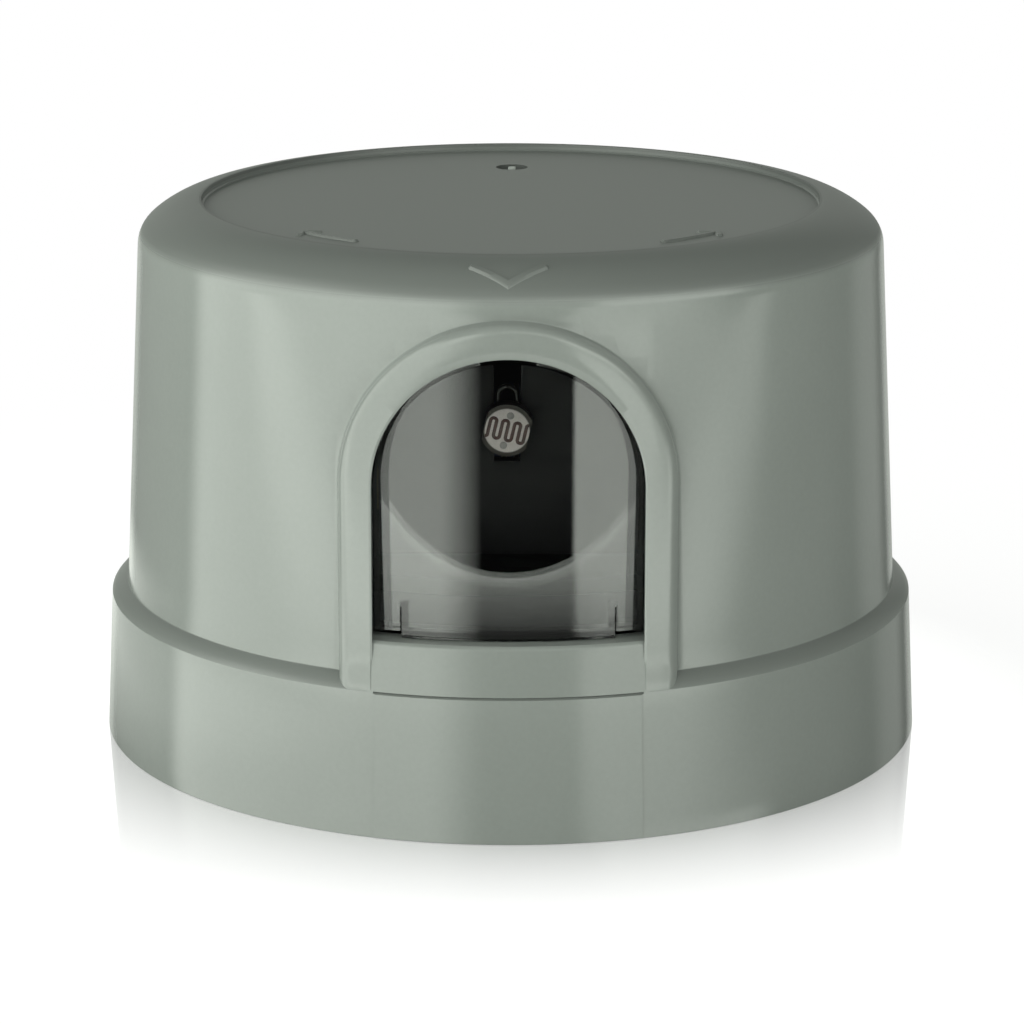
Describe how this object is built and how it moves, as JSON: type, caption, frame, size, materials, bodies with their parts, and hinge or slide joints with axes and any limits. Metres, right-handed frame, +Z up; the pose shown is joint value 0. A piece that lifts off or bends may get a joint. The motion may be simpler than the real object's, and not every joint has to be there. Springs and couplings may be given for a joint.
{
  "type": "photocell switch",
  "caption": "Plug-in photocell switch for a street light: a round drafted cover with an arched, beaded window over a light sensor, and a twist-lock base inside its skirt.",
  "frame": {"origin": "centre of the skirt's rim, on the plane that the part stands on", "axes": "+Z up along the cover's axis, -Y out of the window, +X to the right of someone who looks into the window"},
  "size_m": [0.084, 0.0839, 0.0547],
  "materials": {
    "cover_plastic": "fine matt moulded polypropylene, grey-green",
    "clear_plastic": "clear polished acrylic",
    "base_plastic": "matt black moulding",
    "sponge_rubber": "closed-cell sponge",
    "blade_brass": "stamped brass, satin",
    "board_laminate": "solder-resist on laminate",
    "screw_steel": "zinc-plated steel",
    "holder_plastic": "matt black moulding",
    "photocell_ceramic": "resin-coated ceramic with a printed track",
    "relay_case": "satin moulded case",
    "film_case": "satin moulded box",
    "electrolytic_sleeve": "shrunk plastic sleeve on an aluminium can",
    "varistor_coat": "dipped epoxy",
    "power_resistor_coat": "flameproof cement coat",
    "resistor_coat": "lacquer",
    "diode_case": "moulded epoxy",
    "zener_glass": "tinted glass",
    "transistor_case": "moulded epoxy"
  },
  "bodies": {
    "root": {"cover": "cover_plastic", "window_lens": "clear_plastic", "base_plate": "base_plastic", "base_gasket": "sponge_rubber", "line_blade": "blade_brass", "load_blade": "blade_brass", "neutral_blade": "blade_brass", "circuit_board": "board_laminate", "board_screws": "screw_steel", "photocell_holder": "holder_plastic", "photocell": "photocell_ceramic", "relay": "relay_case", "film_capacitor": "film_case", "electrolytic_capacitor": "electrolytic_sleeve", "varistor": "varistor_coat", "power_resistor": "power_resistor_coat", "small_resistors": "resistor_coat", "rectifier_diodes": "diode_case", "zener_diode": "zener_glass", "transistor": "transistor_case"}
  },
  "joints": []
}
